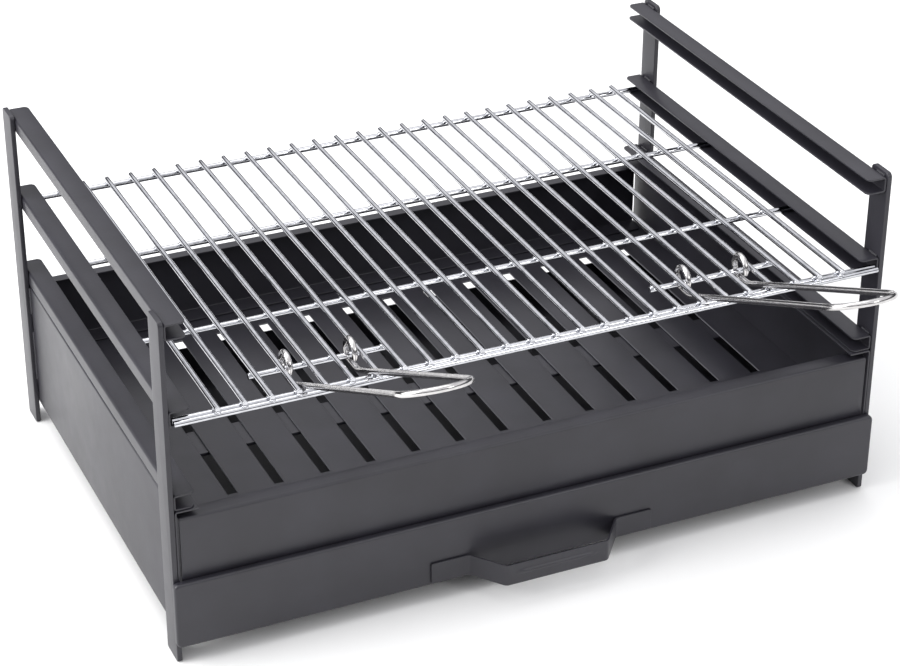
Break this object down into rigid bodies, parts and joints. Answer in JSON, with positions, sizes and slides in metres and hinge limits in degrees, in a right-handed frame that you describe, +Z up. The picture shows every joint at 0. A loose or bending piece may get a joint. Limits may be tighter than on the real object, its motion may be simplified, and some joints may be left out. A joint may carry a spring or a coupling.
{
  "type": "charcoal grill",
  "caption": "Low rectangular charcoal grill on flat posts, with channel rails for a sliding wire grate, folding wire handles, a slotted fire tray and a pull-out ash drawer.",
  "frame": {"origin": "at ground level, in the middle of the space that the grill takes up with its handles resting forward", "axes": "+Z up; the drawer and the handles face -Y; +X to the right as seen from the drawer side"},
  "size_m": [0.602, 0.5988, 0.3125],
  "materials": {
    "black_paint": "satin black heat-proof paint on sheet steel",
    "bright_chrome": "bright chromed wire",
    "dull_chrome": "dull chromed wire"
  },
  "bodies": {
    "frame": {"post_front_left": "black_paint", "post_front_right": "black_paint", "post_rear_left": "black_paint", "post_rear_right": "black_paint", "rail_top_left": "black_paint", "rail_top_right": "black_paint", "rail_middle_left": "black_paint", "rail_middle_right": "black_paint", "rail_lower_left": "black_paint", "rail_lower_right": "black_paint", "side_panel_left": "black_paint", "side_panel_right": "black_paint", "front_panel": "black_paint", "rear_panel": "black_paint", "charcoal_floor": "black_paint", "floor_brace": "black_paint"},
    "grate": {"rod_rear": "bright_chrome", "rod_second": "bright_chrome", "rod_third": "bright_chrome", "rod_front_inner": "bright_chrome", "rod_front_outer": "bright_chrome", "short_rod_left": "bright_chrome", "short_rod_right": "bright_chrome", "grill_wire_01": "bright_chrome", "grill_wire_02": "bright_chrome", "grill_wire_03": "bright_chrome", "grill_wire_04": "bright_chrome", "grill_wire_05": "bright_chrome", "grill_wire_06": "bright_chrome", "grill_wire_07": "bright_chrome", "grill_wire_08": "bright_chrome", "grill_wire_09": "bright_chrome", "grill_wire_10": "bright_chrome", "grill_wire_11": "bright_chrome", "grill_wire_12": "bright_chrome", "grill_wire_13": "bright_chrome", "grill_wire_14": "bright_chrome", "grill_wire_15": "bright_chrome", "grill_wire_16": "bright_chrome", "grill_wire_17": "bright_chrome", "grill_wire_18": "bright_chrome", "grill_wire_19": "bright_chrome", "grill_wire_20": "bright_chrome", "grill_wire_21": "bright_chrome", "grill_wire_22": "bright_chrome", "grill_wire_23": "bright_chrome", "grill_wire_24": "bright_chrome", "grill_wire_25": "bright_chrome", "grill_wire_26": "bright_chrome"},
    "handle_left": {"handle_left": "dull_chrome"},
    "handle_right": {"handle_right": "dull_chrome"},
    "drawer": {"ash_tray": "black_paint", "drawer_front": "black_paint", "drawer_handle": "black_paint"}
  },
  "joints": [
    {"name": "grate_slide", "type": "slide", "parent": "frame", "child": "grate", "axis": [0, -1, 0], "range_m": [0, 0.38]},
    {"name": "handle_left_fold", "type": "hinge", "parent": "grate", "child": "handle_left", "pos_m": [-0.1664, -0.06201, 0.2077], "axis": [-1, 0, 0], "range_deg": [0, 150]},
    {"name": "handle_right_fold", "type": "hinge", "parent": "grate", "child": "handle_right", "pos_m": [0.1664, -0.06201, 0.2077], "axis": [-1, 0, 0], "range_deg": [0, 150]},
    {"name": "drawer_slide", "type": "slide", "parent": "frame", "child": "drawer", "axis": [0, -1, 0], "range_m": [0, 0.36]}
  ]
}
